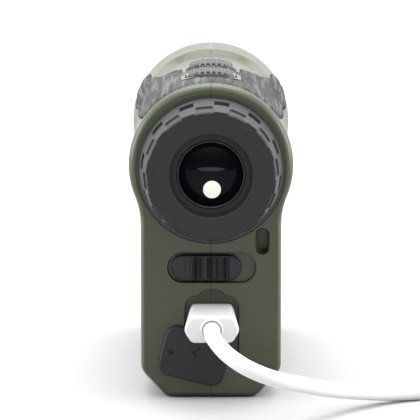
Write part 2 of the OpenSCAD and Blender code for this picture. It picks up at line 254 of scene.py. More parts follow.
def glass_mat(name, tint, rough=0.02, alpha=0.35, tint_s=(0.75, 0.62, 1.0, 1)):
    """Coated optical glass: mostly clear, with a coloured coating that shows in reflection."""
    n = Nodes(name, tint, rough, IOR=1.52, Alpha=alpha)
    f = n.noise(60, 2)
    n.color(n.ramp(f, [(0.3, shade(tint, 0.85)), (0.7, shade(tint, 1.15))]))
    n.rough(n.rng(f, rough, rough + 0.015))
    n.bsdf.inputs["Coat Weight"].default_value = 0.6
    n.bsdf.inputs["Coat Tint"].default_value = (0.82, 0.72, 1.0, 1)
    n.bsdf.inputs["Specular Tint"].default_value = tint_s
    return n.m


M["board"] = board_mat()
M["battery"] = battery_mat()
M["glass"] = glass_mat("coated_glass", (0.020, 0.012, 0.034), alpha=1.0)
M["eye_glass"] = glass_mat("eye_lens_glass", (0.004, 0.0035, 0.006), 0.03, alpha=1.0, tint_s=(0.88, 1.0, 0.90, 1))
M["eye_glass"].node_tree.nodes["Principled BSDF"].inputs["IOR"].default_value = 1.17
M["eye_glass"].node_tree.nodes["Principled BSDF"].inputs["Coat Weight"].default_value = 0.0

SLOT_MAT = {"olive_shell": "olive", "black_plastic": "black", "black_rubber": "sleeve", "coated_glass": "glass",
            "dark_alloy": "alloy", "steel": "steel", "gilt_brass": "gilt", "circuit_board": "board",
            "plated_steel": "nickel", "battery_sleeve": "battery", "white_plastic": "white"}
NODE_SLOT = {s["node"]: s["material_slot"] for s in frame["record"]["subparts"]}


def put(obj, mat):
    obj.data.materials.clear()
    obj.data.materials.append(mat)


for name, obj in frame["nodes"].items():
    put(obj, M[SLOT_MAT[NODE_SLOT[name]]])
for name in ("eyepiece_barrel", "receiver_tube", "emitter_tube", "optics_chassis", "lens_cell", "lens_spacer",
             "prism_cage"):
    put(frame["nodes"][name], M["inside"])


# ------------------------------------------------------------------ mesh helpers
def make(name, verts, faces, mat=None, smooth=True, mm=True, angle=32):
    me = bpy.data.meshes.new(name)
    v = np.asarray(verts, dtype=float)
    me.from_pydata((v * (MM if mm else 1)).tolist(), [], [list(map(int, f)) for f in faces])
    me.validate()
    me.update()
    o = bpy.data.objects.new(name, me)
    scene.collection.objects.link(o)
    if mat:
        me.materials.append(mat)
    if smooth:
        smooth_by(o, angle)
    return o


def smooth_by(o, angle=32):
    me = o.data
    me.polygons.foreach_set("use_smooth", [True] * len(me.polygons))
    me.set_sharp_from_angle(angle=math.radians(angle))


def fix_normals(o):
    bm = bmesh.new()
    bm.from_mesh(o.data)
    bmesh.ops.recalc_face_normals(bm, faces=bm.faces)
    bm.to_mesh(o.data)
    bm.free()


def apply_mods(o):
    dg = bpy.context.evaluated_depsgraph_get()
    dg.update()
    me = bpy.data.meshes.new_from_object(o.evaluated_get(dg))
    old = o.data
    o.modifiers.clear()
    o.data = me
    me.name = o.name
    bpy.data.meshes.remove(old)


def boolean(o, cutter, op="DIFFERENCE", keep=False):
    m = o.modifiers.new("b", "BOOLEAN")
    m.operation = op
    m.solver = "EXACT"
    m.object = cutter
    apply_mods(o)
    if not keep:
        drop(cutter)


def drop(*objs):
    for x in objs:
        bpy.data.objects.remove(x, do_unlink=True)


def bevelled(o, width, segs=3, angle=35):
    m = o.modifiers.new("edge", "BEVEL")
    m.width = width * MM
    m.segments = segs
    m.limit_method = "ANGLE"
    m.angle_limit = math.radians(angle)
    m.harden_normals = False
    apply_mods(o)
    smooth_by(o, 40)
    return o


def weighted(o):
    m = o.modifiers.new("wn", "WEIGHTED_NORMAL")
    m.keep_sharp = True
    m.weight = 90
    return o


def box_mesh(name, x0, x1, y0, y1, z0, z1, mat=None):
    v = [(x, y, z) for x in (x0, x1) for y in (y0, y1) for z in (z0, z1)]
    f = [(0, 1, 3, 2), (4, 6, 7, 5), (0, 4, 5, 1), (2, 3, 7, 6), (0, 2, 6, 4), (1, 5, 7, 3)]
    o = make(name, v, f, mat, smooth=False)
    fix_normals(o)
    return o


def rr_pts(w, h, r, n=10):
    """Rounded rectangle outline, counter-clockwise, centred."""
    out = []
    for cx, cy, a0 in ((w / 2 - r, h / 2 - r, 0), (-w / 2 + r, h / 2 - r, 90),
                       (-w / 2 + r, -h / 2 + r, 180), (w / 2 - r, -h / 2 + r, 270)):
        for k in range(n + 1):
            a = math.radians(a0 + 90 * k / n)
            out.append((cx + r * math.cos(a), cy + r * math.sin(a)))
    return out


def rings_mesh(name, rings, mat=None, cap=(True, True), angle=32, closed=False):
    """Skins a list of equal-length closed rings of 3-D points."""
    n = len(rings[0])
    v = [p for r in rings for p in r]
    f = []
    m = len(rings)
    for s in range(m if closed else m - 1):
        t = (s + 1) % m
        for k in range(n):
            k2 = (k + 1) % n
            f.append((s * n + k, s * n + k2, t * n + k2, t * n + k))
    if not closed:
        if cap[0]:
            f.append(tuple(range(n - 1, -1, -1)))
        if cap[1]:
            f.append(tuple((m - 1) * n + k for k in range(n)))
    o = make(name, v, f, mat, smooth=False)
    fix_normals(o)
    smooth_by(o, angle)
    return o


def turned(name, profile, mat=None, z=AXIS_Z, n=128, angle=32, closed=True):
    """Turns [radius, y] points about the line along Y at height z."""
    rings = []
    for r, y in profile:
        rings.append([(r * math.cos(2 * math.pi * k / n), y, z + r * math.sin(2 * math.pi * k / n))
                      for k in range(n)])
    return rings_mesh(name, rings, mat, angle=angle, closed=closed, cap=(False, False))


def sstep(a, b, x):
    t = np.clip((np.asarray(x, dtype=float) - a) / (b - a), 0, 1)
    return t * t * (3 - 2 * t)


ON_FLOOR = ("lead_cord", "lead_far_plug_grip", "lead_far_plug_shell", "lead_far_plug_tongue", "lead_tie_1", "lead_tie_2")


def own(o, body, slot, *nodes):
    if o.name not in ON_FLOOR:  # the housing shapes are drawn from the datum above the foot
        o.data.transform(Matrix.Translation((0, 0, FOOT * MM)))
    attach(o, body)
    if nodes:
        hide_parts(*nodes)
    return o


# ------------------------------------------------------------------ charging lead
ROUTE = [(0.2, -66.5, 21.3), (0.2, -68, 21.3), (0.5, -71.6, 20.9), (1.7, -75.4, 19.7), (4.2, -79, 17.7), (8.2, -81.2, 15.3),
         (13.2, -81.2, 13), (18.4, -78.6, 11), (23.4, -74, 9.2), (28.2, -68.4, 7.2), (33.2, -62.4, 5.4),
         (38.8, -56.6, 3.8), (45, -51.6, 2.6), (52, -48, 2), (60, -45.8, 2), (68, -45, 2.3), (77, -45, 2.7)]
TAIL = [(116, -9, 6.2), (116, -5, 5.4), (116, 0, 4.4), (116, 3.5, 4), (116, 6, 4)]
COIL_X, COIL_Y = 90.0, -19.0


def coil_points(per_turn=40):
    pts = []
    total = 720 + 90 + 720
    steps = int(total / 360 * per_turn)
    for i in range(steps + 1):
        a = total * i / steps
        if a <= 720:
            r, z = 26 - 8 * a / 720, 2.7
        elif a <= 810:
            r, z = 18, 2.7 + 4.0 * float(sstep(0, 1, (a - 720) / 90))
        else:
            r, z = 18 + 8 * (a - 810) / 720, 6.7
        th = math.radians(-90 + a)
        pts.append((COIL_X + r * math.cos(th), COIL_Y + r * math.sin(th), z))
    return pts


def catmull(P, per=3):
    P = [Vector(p) for p in P]
    out = []
    for i in range(len(P) - 1):
        p0, p1, p2, p3 = P[max(i - 1, 0)], P[i], P[i + 1], P[min(i + 2, len(P) - 1)]
        for k in range(per):
            t = k / per
            out.append(0.5 * ((2 * p1) + (p2 - p0) * t + (2 * p0 - 5 * p1 + 4 * p2 - p3) * t * t
                              + (3 * p1 - p0 - 3 * p2 + p3) * t ** 3))
    out.append(P[-1])
    return out


def make_lead():
    path = catmull(ROUTE + [(84, -45, 2.7)], 3)[:-1] + [Vector(p) for p in coil_points()] + catmull([(116, -14, 6.6)] + TAIL, 3)
    cu = bpy.data.curves.new("lead_cord", "CURVE")
    cu.dimensions = "3D"
    cu.bevel_depth = 2.0 * MM
    cu.bevel_resolution = 6
    cu.use_fill_caps = True
    sp = cu.splines.new("POLY")
    sp.points.add(len(path) - 1)
    for p, q in zip(sp.points, path):
        p.co = (q[0] * MM, q[1] * MM, max(q[2], 2.0) * MM, 1)
    sp.use_smooth = True
    o = bpy.data.objects.new("lead_cord", cu)
    scene.collection.objects.link(o)
    cu.materials.append(M["lead"])
    length = sum((path[i + 1] - path[i]).length for i in range(len(path) - 1)) * MM
    return o, length


lead, LEAD_LEN = make_lead()
own(lead, "lead", "white_plastic", "lead_cable", "lead_coil", "lead_tail")
print("lead length", round(LEAD_LEN, 4))


def hexa(w, h, flat, f, n=5):
    """Six-sided outline with softened corners: width w, height h, flat top of half length flat."""
    P = [(w / 2, 0.0), (flat, h / 2), (-flat, h / 2), (-w / 2, 0.0), (-flat, -h / 2), (flat, -h / 2)]
    out = []
    for i, c in enumerate(P):
        a, b = P[i - 1], P[(i + 1) % 6]
        k = f * (1.9 if i in (0, 3) else 1.0)
        la, lb = math.hypot(a[0] - c[0], a[1] - c[1]), math.hypot(b[0] - c[0], b[1] - c[1])
        p = (c[0] + (a[0] - c[0]) * k / la, c[1] + (a[1] - c[1]) * k / la)
        q = (c[0] + (b[0] - c[0]) * k / lb, c[1] + (b[1] - c[1]) * k / lb)
        for j in range(n + 1):
            t = j / n
            out.append(((1 - t) ** 2 * p[0] + 2 * t * (1 - t) * c[0] + t * t * q[0],
                        (1 - t) ** 2 * p[1] + 2 * t * (1 - t) * c[1] + t * t * q[1]))
    return out


def plug_body():
    """Overmoulded plug: six-sided with soft corners, slightly wider towards the grip, crisp rear edge."""
    prof = [(-43.15, 11.7, 5.3), (-43.25, 12.1, 5.75), (-43.6, 12.5, 6.0), (-46, 12.6, 6.1), (-52, 13.2, 6.3),
            (-58, 13.9, 6.5), (-62.5, 14.3, 6.6), (-64.2, 14.35, 6.6), (-64.62, 14.2, 6.48), (-64.9, 13.85, 6.15),
            (-65.0, 13.4, 5.75), (-65.05, 12.7, 5.1)]
    rings = []
    for y, w, h in prof:
        rings.append([(PORT_X + x, y, PORT_Z + z) for x, z in hexa(w, h, min(5.0, w / 2 - 1.1), 0.85)])
    return rings_mesh("lead_plug_grip", rings, M["white"], angle=38)


plug = own(plug_body(), "lead", "white_plastic", "lead_plug_body")
relief_prof = [(0.0, -64.9), (3.0, -64.9), (2.98, -65.35), (2.86, -65.62), (2.66, -65.72), (2.46, -65.6), (2.34, -65.3),
               (2.2, -65.22), (2.1, -65.3), (2.06, -66.4), (2.0, -66.75), (0.0, -66.75)]
relief = turned("lead_boot", relief_prof, M["white"], z=PORT_Z, n=64, angle=50)
for v in relief.data.vertices:
    v.co.x += PORT_X * MM
own(relief, "lead", "white_plastic", "lead_strain_relief")


def usb_a():
    prof = [(5.9, 5.2, 4.4, 1.6), (6.2, 7.6, 5.6, 2.2), (7.0, 9.8, 6.4, 2.4), (8.4, 12.2, 7.0, 2.5), (10.4, 15.0, 7.7, 2.5),
            (12.0, 15.7, 7.95, 2.5), (25.5, 15.7, 7.95, 2.5), (27.2, 15.6, 7.9, 2.4), (27.9, 15.0, 7.3, 2.1), (28.0, 14.2, 6.6, 1.9)]
    o = rings_mesh("lead_far_plug_grip", [[(116 + x, y, 4 + z) for x, z in rr_pts(w, h, r, 8)] for y, w, h, r in prof],
                   M["white"], angle=50)
    own(o, "lead", "white_plastic", "usb_a_body")
    outer = [[(116 + x, y, 4 + z) for x, z in rr_pts(12, 4.5, 0.55, 4)] for y in (27.5, 39.7)]
    outer.append([(116 + x, 40, 4 + z) for x, z in rr_pts(11.7, 4.2, 0.45, 4)])
    inner = [[(116 + x, y, 4 + z) for x, z in rr_pts(11.3, 3.8, 0.35, 4)] for y in (40, 28.6)]
    sh = rings_mesh("lead_far_plug_shell", outer + inner, M["nickel"], angle=35)
    for x in (-2.7, 2.7):
        for z in (0.5, 7.5):
            c = box_mesh("c", 116 + x - 1.2, 116 + x + 1.2, 33.2, 35.6, z, z + 0.01)
            drop(c)
            c = box_mesh("c", 116 + x - 1.2, 116 + x + 1.2, 33.0, 35.4, z - 2.0 if z < 4 else z - 1.6, z + 1.6 if z < 4 else z + 2.0)
            boolean(sh, c)
    smooth_by(sh, 35)
    own(sh, "lead", "plated_steel", "usb_a_shell")
    tongue = box_mesh("lead_far_plug_tongue", 110.6, 121.4, 28.6, 39.2, 4.3, 5.8, M["white"])
    bevelled(tongue, 0.15, 2)
    own(tongue, "lead", "white_plastic")
    return [o, sh, tongue]


far = usb_a()


def ties():
    """Two soft straps round the coil."""
    out = []
    for i, a in enumerate((90, 270)):
        th = math.radians(a)
        c, s = math.cos(th), math.sin(th)
        path = rr_pts(13.0, 9.0, 1.6, 6)
        n = len(path)
        rings = []
        for (u, w) in path:
            d = math.hypot(u / 6.5, w / 4.5)
            rings.append((u, w))
        v, f = [], []
        for j, (u, w) in enumerate(rings):
            pu, pw = rings[j - 1]
            nu, nw = rings[(j + 1) % n]
            tx, tz = nu - pu, nw - pw
            L = math.hypot(tx, tz) or 1
            nx, nz = tz / L, -tx / L
            for side in (-2.3, 2.3):
                for t in (0.0, 0.42):
                    uu, ww = u + nx * (t - 0.1), w + nz * (t - 0.1)
                    rr = 22.0 + uu
                    v.append((COIL_X + rr * c - side * s, COIL_Y + rr * s + side * c, max(0.02, 4.72 + ww)))
        for j in range(n):
            k = (j + 1) % n
            a0, b0 = j * 4, k * 4
            f += [(a0, b0, b0 + 1, a0 + 1), (a0 + 1, b0 + 1, b0 + 3, a0 + 3), (a0 + 3, b0 + 3, b0 + 2, a0 + 2),
                  (a0 + 2, b0 + 2, b0, a0)]
        o = make("lead_tie_%d" % (i + 1), v, f, M["sleeve"], smooth=False)
        fix_normals(o)
        smooth_by(o, 40)
        out.append(o)
    own(out[0], "lead", "black_rubber", "lead_tie")
    own(out[1], "lead", "black_rubber")
    return out


straps = ties()


# ------------------------------------------------------------------ housing
def bez(A, C, B, n):
    return [((1 - t) ** 2 * A[0] + 2 * t * (1 - t) * C[0] + t * t * B[0],
             (1 - t) ** 2 * A[1] + 2 * t * (1 - t) * C[1] + t * t * B[1]) for t in [k / n for k in range(n + 1)]]


def outline(R, zc, w, top_in=0.0, low_in=None, dense=1.0):
    """Keyhole outline of the housing, counter-clockwise seen from the rear, inset by top_in above and low_in below."""
    low_in = top_in if low_in is None else low_in
    al = -math.acos((w + WAIST) / (R + WAIST))
    zf = zc + (R + WAIST) * math.sin(al)
    L = math.hypot(CHX, CHZ)
    dx, dz = CHX / L, CHZ / L
    p0, p1 = (w - CHX, -FOOT), (w, CHZ - FOOT)
    f0, f1 = 1.2, 1.9
    a0, b0 = (p0[0] - f0, p0[1]), (p0[0] + f0 * dx, p0[1] + f0 * dz)
    a1, b1 = (p1[0] - f1 * dx, p1[1] - f1 * dz), (w, p1[1] + f1)
    k = lambda n: max(2, int(n * dense))
    half = [(x, -FOOT) for x in np.linspace(0, a0[0], k(5))[:-1]]
    half += bez(a0, p0, b0, k(5))
    half += [(b0[0] + (a1[0] - b0[0]) * t, b0[1] + (a1[1] - b0[1]) * t) for t in np.linspace(0, 1, k(4) + 1)[1:-1]]
    half += bez(a1, p1, b1, k(5))
    half += [(w, z) for z in np.linspace(b1[1], zf, k(9))[1:-1]]
    n = k(16)
    half += [(w + WAIST + WAIST * math.cos(math.pi + al * i / n), zf + WAIST * math.sin(math.pi + al * i / n))
             for i in range(n)]
    n = k(48)
    half += [(R * math.cos(al + (math.pi / 2 - al) * i / n), zc + R * math.sin(al + (math.pi / 2 - al) * i / n))
             for i in range(n + 1)]
    half[-1] = (0.0, zc + R)
    pts = half + [(-x, z) for x, z in half[-2:0:-1]]
    P = np.array(pts)
    T = np.roll(P, -1, 0) - np.roll(P, 1, 0)
    T /= np.linalg.norm(T, axis=1)[:, None]
    Nn = np.stack([T[:, 1], -T[:, 0]], 1)
    ins = low_in + (top_in - low_in) * sstep(38, 64, P[:, 1])
    return P - Nn * ins[:, None]


def hood(y, phi):
    """How far the front hood has risen at y: a crisp step over the top that fades to a long slope at the sides."""
    side = sstep(0.46, 0.84, np.abs(phi))
    y0, y1 = 39.6 - 17.0 * side, 43.4 + 1.0 * side
    t = np.clip((y - y0) / (y1 - y0), 0, 1)
    return 0.78 * t * t * (3 - 2 * t) + 0.36 * sstep(42.5, 58, y)


def section(y, phi=0.0):
    """Radius, centre height and lower half width of the housing at y, round the angle phi from the top."""
    dip = 0.1 * float(sstep(-42, -24, y)) * (1 - float(sstep(22, 37, y)))
    h = hood(y, phi)
    return HEAD_R - dip + HOOD * h, HEAD_Z + 0.9 * h, LW + 0.1 * float(sstep(20, 37, y)) + 0.2 * float(sstep(37, 43, y))


def skin_ring(y, ti, li, dense=1.0):
    """One ring of the housing; each point takes the hood's rise at its own angle."""
    dip = 0.1 * float(sstep(-42, -24, y)) * (1 - float(sstep(22, 37, y)))
    w = LW + 0.1 * float(sstep(20, 37, y)) + 0.2 * float(sstep(37, 43, y))
    A = outline(HEAD_R - dip, HEAD_Z, w, ti, li, dense)
    B = outline(HEAD_R - dip + HOOD, HEAD_Z + 0.9, w, ti, li, dense)
    h = hood(y, np.arctan2(A[:, 0], A[:, 1] - HEAD_Z))[:, None]
    P = A + (B - A) * h
    return [(p[0], y, p[1]) for p in P]


def housing_skin():
    ys = []
    for i in range(9):
        t = math.pi / 2 * i / 8
        ys.append((-45 + 2.6 * (1 - math.cos(t)), 2.4 * (1 - math.sin(t)), 1.35 * (1 - math.sin(t))))
    for y in list(np.arange(-40, 20, 4)) + list(np.arange(20, 39, 1.5)) + list(np.arange(39.2, 44.1, 0.35)) + [46, 49.5, 53, 56]:
        ys.append((float(y), 0.0, 0.0))
    for i in range(9):
        t = math.pi / 2 * i / 8
        ys.append((57 + 3 * math.sin(t), 1.7 * (1 - math.cos(t)), 1.7 * (1 - math.cos(t))))
    return rings_mesh("housing", [skin_ring(*q) for q in ys], M["olive"])


def inner_skin():
    rings = []
    for y, extra in [(-41.2, 1.2), (-40.2, 0.3), (-39, 0.0)] + [(y, 0.0) for y in (-20, 0, 20, 26, 32, 38, 41, 44)] + [(62, 0.0)]:
        rings.append(skin_ring(y, 2.0 + extra, 2.0 + extra, 0.5))
    o = rings_mesh("cavity", rings)
    boolean(o, box_mesh("pad", 9.6, 20, -44, -36.6, 34.6, 45.2))  # stays solid round the strap slot
    return o


def rect_cut(w, h, r, x, z, depth, mouth=0.3, foot=0.25, n=10):
    """A pocket cutter in the rear face: rounded mouth, straight walls, small radius round the floor."""
    rings = [(-46.5, mouth)]
    for i in range(7):
        t = math.pi / 2 * i / 6
        rings.append((-45.001 + mouth * (1 - math.cos(t)), mouth * (1 - math.sin(t))))
    y1 = -45 + depth
    if foot:
        rings += [(y1 - foot, 0), (y1 - foot * 0.3, -foot * 0.3), (y1, -foot)]
    else:
        rings.append((y1, 0))
    return rings_mesh("cut", [[(x + px, y, z + pz) for px, pz in rr_pts(w + 2 * o, h + 2 * o, r + o, n)]
                              for y, o in rings])


def up_prism(w, l, r, y, z0, z1, n=10):
    return rings_mesh("cut", [[(px, y + py, z) for px, py in rr_pts(w, l, r, n)] for z in (z0, z1)])


def rod(axis, a, b, c0, c1, r, n=48):
    """A cylinder cutter along axis 'x' or 'y' from c0 to c1, centred on the other two coordinates a, b."""
    ring = [(r * math.cos(2 * math.pi * k / n), r * math.sin(2 * math.pi * k / n)) for k in range(n)]
    if axis == "x":
        return rings_mesh("cut", [[(c, a + p, b + q) for p, q in ring] for c in (c0, c1)])
    return rings_mesh("cut", [[(a + p, c, b + q) for p, q in ring] for c in (c0, c1)])


def build_shells():
    h = housing_skin()
    rim = up_prism(BTN_W + 2.8, BTN_L + 2.8, BTN_R + 1.4, MODE_Y, 72, 88)
    dome = rod("y", 0, HEAD_Z, MODE_Y - 12, MODE_Y + 12, HEAD_R + 0.5, 192)
    boolean(rim, dome, "INTERSECT")
    boolean(h, rim, "UNION")
    boolean(h, inner_skin())
    boolean(h, rod("y", 0, AXIS_Z, -50, -40, 12.6, 96))
    boolean(h, rod("y", 0, AXIS_Z, -50, -44.1, 19.2, 144))
    boolean(h, rect_cut(22.5, 7.7, 3.8, 0.2, SLIDE_Z, 1.6, 0.25, 0.3, 16))
    boolean(h, rect_cut(13.6, 17.4, 3.0, 0.2, 16.8, 2.2, 0.4, 0.3))
    boolean(h, rect_cut(7.0, 7.0, 2.4, 0.2, 23.55, 2.2, 0.4, 0.3))
    boolean(h, rings_mesh("cut", [[(13.1 + px, y, 39.7 + pz) for px, pz in rr_pts(w, l, r, 8)]
                                  for y, w, l, r in ((-46.5, 3.9, 6.9, 1.9), (-45.001, 3.9, 6.9, 1.9), (-44.85, 3.55, 6.7, 1.7),
                                                     (-44.3, 2.75, 6.25, 1.33), (-38, 2.65, 6.2, 1.3))]))
    boolean(h, rings_mesh("cut", [[(x, -39.3 + py, 39.7 + pz) for py, pz in rr_pts(2.6 + 2 * o, 5.6 + 2 * o, 0.9 + o, 6)]
                                  for x, o in ((12.4, 0), (17.2, 0), (17.55, 0.12), (17.71, 0.4), (21, 0.4))]))
    boolean(h, box_mesh("cut", -2.7, 3.6, -44, -40, SLIDE_Z - 1.4, SLIDE_Z + 1.4))
    boolean(h, rings_mesh("cut", [[(PORT_X + px, y, PORT_Z + pz) for px, pz in rr_pts(10.4, 4.4, 1.6, 8)] for y in (-44, -40)]))
    boolean(h, up_prism(BTN_W + 0.6, BTN_L + 0.6, BTN_R + 0.3, MODE_Y, 70, 90))
    boolean(h, up_prism(BTN_W + 0.6, BTN_L + 0.6, BTN_R + 0.3, POWER_Y, 70, 90))
    for y, z in ((-30, 8), (14, 6), (-25, 41)):
        boolean(h, rod("x", y, z, 8.5, 30, 2.2, 40))
    out = []
    for side, name in ((-1, "left_shell"), (1, "right_shell")):
        o = h.copy()
        o.data = h.data.copy()
        o.name = name + "_skin"
        scene.collection.objects.link(o)
        bm = bmesh.new()
        bm.from_mesh(o.data)
        bmesh.ops.bisect_plane(bm, geom=bm.verts[:] + bm.edges[:] + bm.faces[:], dist=1e-7,
                               plane_co=(side * 0.045 * MM, 0, 0), plane_no=(-side, 0, 0), clear_outer=True)
        rim_edges = [q for q in bm.edges if q.is_boundary]
        bmesh.ops.triangle_fill(bm, use_beauty=True, edges=rim_edges)
        bmesh.ops.recalc_face_normals(bm, faces=bm.faces)
        bm.to_mesh(o.data)
        bm.free()
        o.data.name = o.name
        put(o, M["olive"])
        smooth_by(o, 30)
        weighted(o)
        out.append(own(o, "housing", "olive_shell", name))
    drop(h)
    return out


shells = build_shells()


# ------------------------------------------------------------------ plates made from a height field
def sd_rrect(u, v, w, h, r):
    qx, qy = np.abs(u) - (w / 2 - r), np.abs(v) - (h / 2 - r)
    return np.hypot(np.maximum(qx, 0), np.maximum(qy, 0)) + np.minimum(np.maximum(qx, qy), 0) - r


def plate(name, sd, half, step, height, bottom, place, mat, angle=35):
    """A plate with outline sd < 0. height(u, v, d) is its top, d being the distance to the edge."""
    nu, nv = int(2 * half[0] / step) + 3, int(2 * half[1] / step) + 3
    us = (np.arange(nu) - (nu - 1) / 2) * step
    vs = (np.arange(nv) - (nv - 1) / 2) * step
    U, V = np.meshgrid(us, vs, indexing="ij")
    U, V = U.copy(), V.copy()
    e = step * 0.02
    for _ in range(3):
        S = sd(U, V)
        near = np.abs(S) < step * 0.78
        gx = (sd(U + e, V) - sd(U - e, V)) / (2 * e)
        gy = (sd(U, V + e) - sd(U, V - e)) / (2 * e)
        g = np.maximum(gx * gx + gy * gy, 1e-9)
        U = np.where(near, U - S * gx / g, U)
        V = np.where(near, V - S * gy / g, V)
    S = sd(U, V)
    inside = S < step * 0.02
    q = inside[:-1, :-1] & inside[1:, :-1] & inside[1:, 1:] & inside[:-1, 1:]
    idx = -np.ones(U.shape, int)
    used = np.zeros(U.shape, bool)
    ii, jj = np.nonzero(q)
    for a, b in ((0, 0), (1, 0), (1, 1), (0, 1)):
        used[ii + a, jj + b] = True
    idx[used] = np.arange(used.sum())
    W = height(U, V, np.maximum(-S, 0))
    verts = np.stack([U[used], V[used], W[used]], 1)
    faces = np.stack([idx[ii, jj], idx[ii + 1, jj], idx[ii + 1, jj + 1], idx[ii, jj + 1]], 1)
    bm = bmesh.new()
    bv = [bm.verts.new(p) for p in verts]
    for f in faces:
        bm.faces.new([bv[k] for k in f])
    bm.edges.ensure_lookup_table()
    edges = [x for x in bm.edges if x.is_boundary]
    ret = bmesh.ops.extrude_edge_only(bm, edges=edges)
    new = [g for g in ret["geom"] if isinstance(g, bmesh.types.BMVert)]
    for v in new:
        v.co.z = bottom
    rim = [x for x in bm.edges if x.is_boundary]
    bmesh.ops.contextual_create(bm, geom=rim)
    for v in bm.verts:
        v.co = Vector(place(v.co.x, v.co.y, v.co.z)) * MM
    bmesh.ops.recalc_face_normals(bm, faces=bm.faces)
    me = bpy.data.meshes.new(name)
    bm.to_mesh(me)
    bm.free()
    o = bpy.data.objects.new(name, me)
    scene.collection.objects.link(o)
    me.materials.append(mat)
    smooth_by(o, angle)
    return o


def roll(d, r):
    """How far a rounded edge of radius r drops at distance d from the edge."""
    t = np.clip(1 - d / r, 0, 1)
    return r * (1 - np.sqrt(np.maximum(1 - t * t, 0)))


# ------------------------------------------------------------------ top buttons
def button(name, y0, body, node):
    def height(u, v, d):
        arch = HEAD_Z + np.sqrt((HEAD_R + 1.1) ** 2 - u * u)
        crown = 12.15 + np.sqrt(70.0 ** 2 - v * v)
        top = np.minimum(arch, crown + arch - HEAD_Z - HEAD_R - 1.1)
        a, b = u / 1.46 + v / 5.4, u / 1.46 - v / 5.4
        pa = np.abs(((a + 0.5) % 1) - 0.5)
        pb = np.abs(((b + 0.5) % 1) - 0.5)
        pyr = np.clip((0.5 - np.maximum(pa, pb)) / 0.30, 0, 1)
        return top - 0.22 + 0.60 * pyr * sstep(0.35, 0.8, d) - roll(d, 0.5)

    o = plate(name, lambda u, v: sd_rrect(u, v, BTN_W, BTN_L, BTN_R), (BTN_W / 2, BTN_L / 2), 0.106, height, 76.3,
              lambda u, v, w: (u, y0 + v, w), M["button"], angle=24)
    return own(o, body, "black_plastic", node)


button("power_key_cap", POWER_Y, "power_key", "power_button")
button("mode_key_cap", MODE_Y, "mode_key", "mode_button")


# ------------------------------------------------------------------ slide switch knob
def knob_height(u, v, d):
    h = 45.45 + 0.10 * np.cos(np.clip(u / 8.85, -1, 1) * math.pi / 2) - roll(d, 0.6)
    for c, k in ((-4.5, 0.5), (-2.75, 1.0), (-1.25, 0.6), (1.12, 1.1), (2.83, 0.8), (4.94, 1.0)):
        x = np.abs(u - c)
        h = h + 0.42 * k * np.clip(1 - x / 0.26, 0, 1) ** 0.8 * sstep(0.2, 0.6, d)
        h = h - 0.26 * k * np.exp(-((x - 0.60) / 0.26) ** 2) * sstep(0.3, 0.8, d)
    return h


knob = plate("slope_knob_cap", lambda u, v: sd_rrect(u, v, 17.9, 6.8, 3.38), (8.95, 3.4), 0.11, knob_height, 43.75,
             lambda u, v, w: (-1.25 + u, -w, SLIDE_Z + v), M["knob"], angle=30)
own(knob, "slope_slider", "black_plastic", "slope_knob")


# ------------------------------------------------------------------ port cover, hanging open
BOLT = [(0.55, 2.3), (-1.55, -0.25), (-0.15, -0.25), (-0.55, -2.3), (1.55, 0.35), (0.15, 0.35)]


def sd_poly(u, v, P):
    d = np.full(u.shape, 1e9)
    s = np.zeros(u.shape, bool)
    n = len(P)
    for i in range(n):
        ax, ay = P[i]
        bx, by = P[(i + 1) % n]
        ex, ey = bx - ax, by - ay
        t = np.clip(((u - ax) * ex + (v - ay) * ey) / (ex * ex + ey * ey), 0, 1)
        d = np.minimum(d, np.hypot(u - ax - t * ex, v - ay - t * ey))
        c = ((ay > v) != (by > v)) & (u < (bx - ax) * (v - ay) / ((by - ay) or 1e-9) + ax)
        s ^= c
    return np.where(s, -d, d)


def cover_height(u, v, d):
    h = 47.2 - roll(d, 0.5) + 0.0 * u
    rim = sd_rrect(u, v, 15.3, 11.5, 2.4)
    h = h - 0.07 * sstep(0.3, -0.1, rim)
    mark = sd_poly(u - 0.4, v - 0.7, [(x * 0.78, y * 0.78) for x, y in BOLT])
    h = h - 0.26 * (1 - sstep(-0.06, 0.10, mark))
    ring = np.hypot(u + 6.0, v + 0.3)
    return h - 0.5 * (1 - sstep(0.5, 0.72, ring))


def cover_place(u, v, w):
    a = math.radians(13.9)
    return (-4.2 + u * math.cos(a) + v * math.sin(a), -w, 10.3 - u * math.sin(a) + v * math.cos(a))


cover = plate("port_cover_flap", lambda u, v: sd_rrect(u, v, 16.9, 13.1, 3.0), (8.45, 6.55), 0.11, cover_height, 45.3,
              cover_place, M["cover"], angle=35)
own(cover, "port_cover", "black_rubber", "usb_cover")
stud = turned("port_cover_stud", [(0.0, -45.4), (0.95, -45.4), (0.95, -40.9), (1.7, -40.8), (1.5, -40.2), (0.0, -40.1)],
              M["cover"], z=11.4, n=40)
for v in stud.data.vertices:
    v.co.x += 2.05 * MM
own(stud, "port_cover", "black_rubber")


